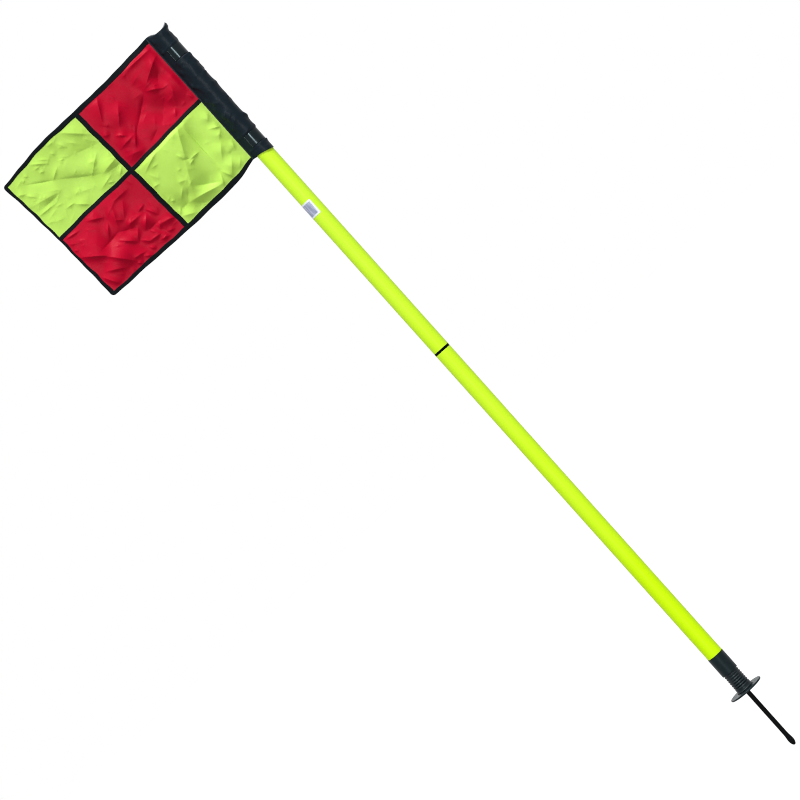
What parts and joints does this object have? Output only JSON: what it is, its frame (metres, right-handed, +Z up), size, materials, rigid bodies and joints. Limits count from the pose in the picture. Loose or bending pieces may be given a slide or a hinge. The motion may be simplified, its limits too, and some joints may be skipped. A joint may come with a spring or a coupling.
{
  "type": "corner flag",
  "caption": "Corner flag: a two-part round pole on a sprung rubber neck with a ground spike and stop disc, and a quartered cloth flag on a clipped sleeve.",
  "frame": {"origin": "centre of the stop disc's underside, where the pole meets the turf", "axes": "+Z up along the pole, -X towards the fly of the flag, and the flag lies in the XZ plane with its pictured face towards -Y"},
  "size_m": [0.3985, 0.0636, 1.6032],
  "materials": {
    "spike_steel": "satin",
    "bare_steel": "satin",
    "black_plastic": "satin",
    "black_rubber": "matte",
    "neon_plastic": "satin",
    "clip_plastic": "gloss",
    "label_film": "satin",
    "black_cloth": "matte",
    "red_cloth": "satin",
    "lime_cloth": "satin"
  },
  "bodies": {
    "foot": {"ground_spike": "spike_steel", "stop_disc": "black_plastic", "foot_core": "black_plastic", "spike_washer": "bare_steel", "spike_nut": "bare_steel"},
    "neck": {"spring_boot": "black_rubber", "coil_spring": "bare_steel"},
    "lower_pole": {"pole_socket": "black_plastic", "lower_tube": "neon_plastic"},
    "connector": {"pole_connector": "black_plastic"},
    "upper_pole": {"upper_tube": "neon_plastic", "end_cap": "black_plastic", "pole_label": "label_film"},
    "sleeve": {"flag_sleeve": "black_cloth"},
    "flag": {"panel_top_inner": "red_cloth", "panel_bottom_inner": "lime_cloth", "panel_top_outer": "lime_cloth", "panel_bottom_outer": "red_cloth", "edge_binding": "black_cloth", "hoist_tape": "black_cloth", "cross_tape_inner": "black_cloth", "cross_tape_outer": "black_cloth"},
    "upper_clip": {"clip_upper": "clip_plastic"},
    "lower_clip": {"clip_lower": "clip_plastic"}
  },
  "joints": [
    {"name": "lean_forward", "type": "hinge", "parent": "foot", "child": "neck", "pos_m": [0, 0, 0.016], "axis": [1, 0, 0], "range_deg": [-45, 45], "stiffness_Nm_per_rad": 60, "deforming": ["spring_boot", "coil_spring"]},
    {"name": "lean_sideways", "type": "hinge", "parent": "neck", "child": "lower_pole", "pos_m": [0, 0, 0.03], "axis": [0, 1, 0], "range_deg": [-45, 45], "stiffness_Nm_per_rad": 60, "deforming": ["spring_boot", "coil_spring"]},
    {"name": "pole_twist", "type": "hinge", "parent": "lower_pole", "child": "connector", "pos_m": [0, 0, 0.763], "axis": [0, 0, 1], "continuous": true},
    {"name": "upper_pole_lift", "type": "slide", "parent": "connector", "child": "upper_pole", "axis": [0, 0, 1], "range_m": [0, 0.07]},
    {"name": "sleeve_turn", "type": "hinge", "parent": "upper_pole", "child": "sleeve", "pos_m": [0, 0, 1.34], "axis": [0, 0, 1], "continuous": true},
    {"name": "flag_fold", "type": "hinge", "parent": "sleeve", "child": "flag", "pos_m": [-0.0237, 0, 1.34], "axis": [0, 0, 1], "range_deg": [-90, 90]},
    {"name": "upper_clip_pull", "type": "slide", "parent": "sleeve", "child": "upper_clip", "axis": [1, 0, 0], "range_m": [0, 0.04], "deforming": ["clip_upper"]},
    {"name": "lower_clip_pull", "type": "slide", "parent": "sleeve", "child": "lower_clip", "axis": [1, 0, 0], "range_m": [0, 0.04], "deforming": ["clip_lower"]}
  ]
}
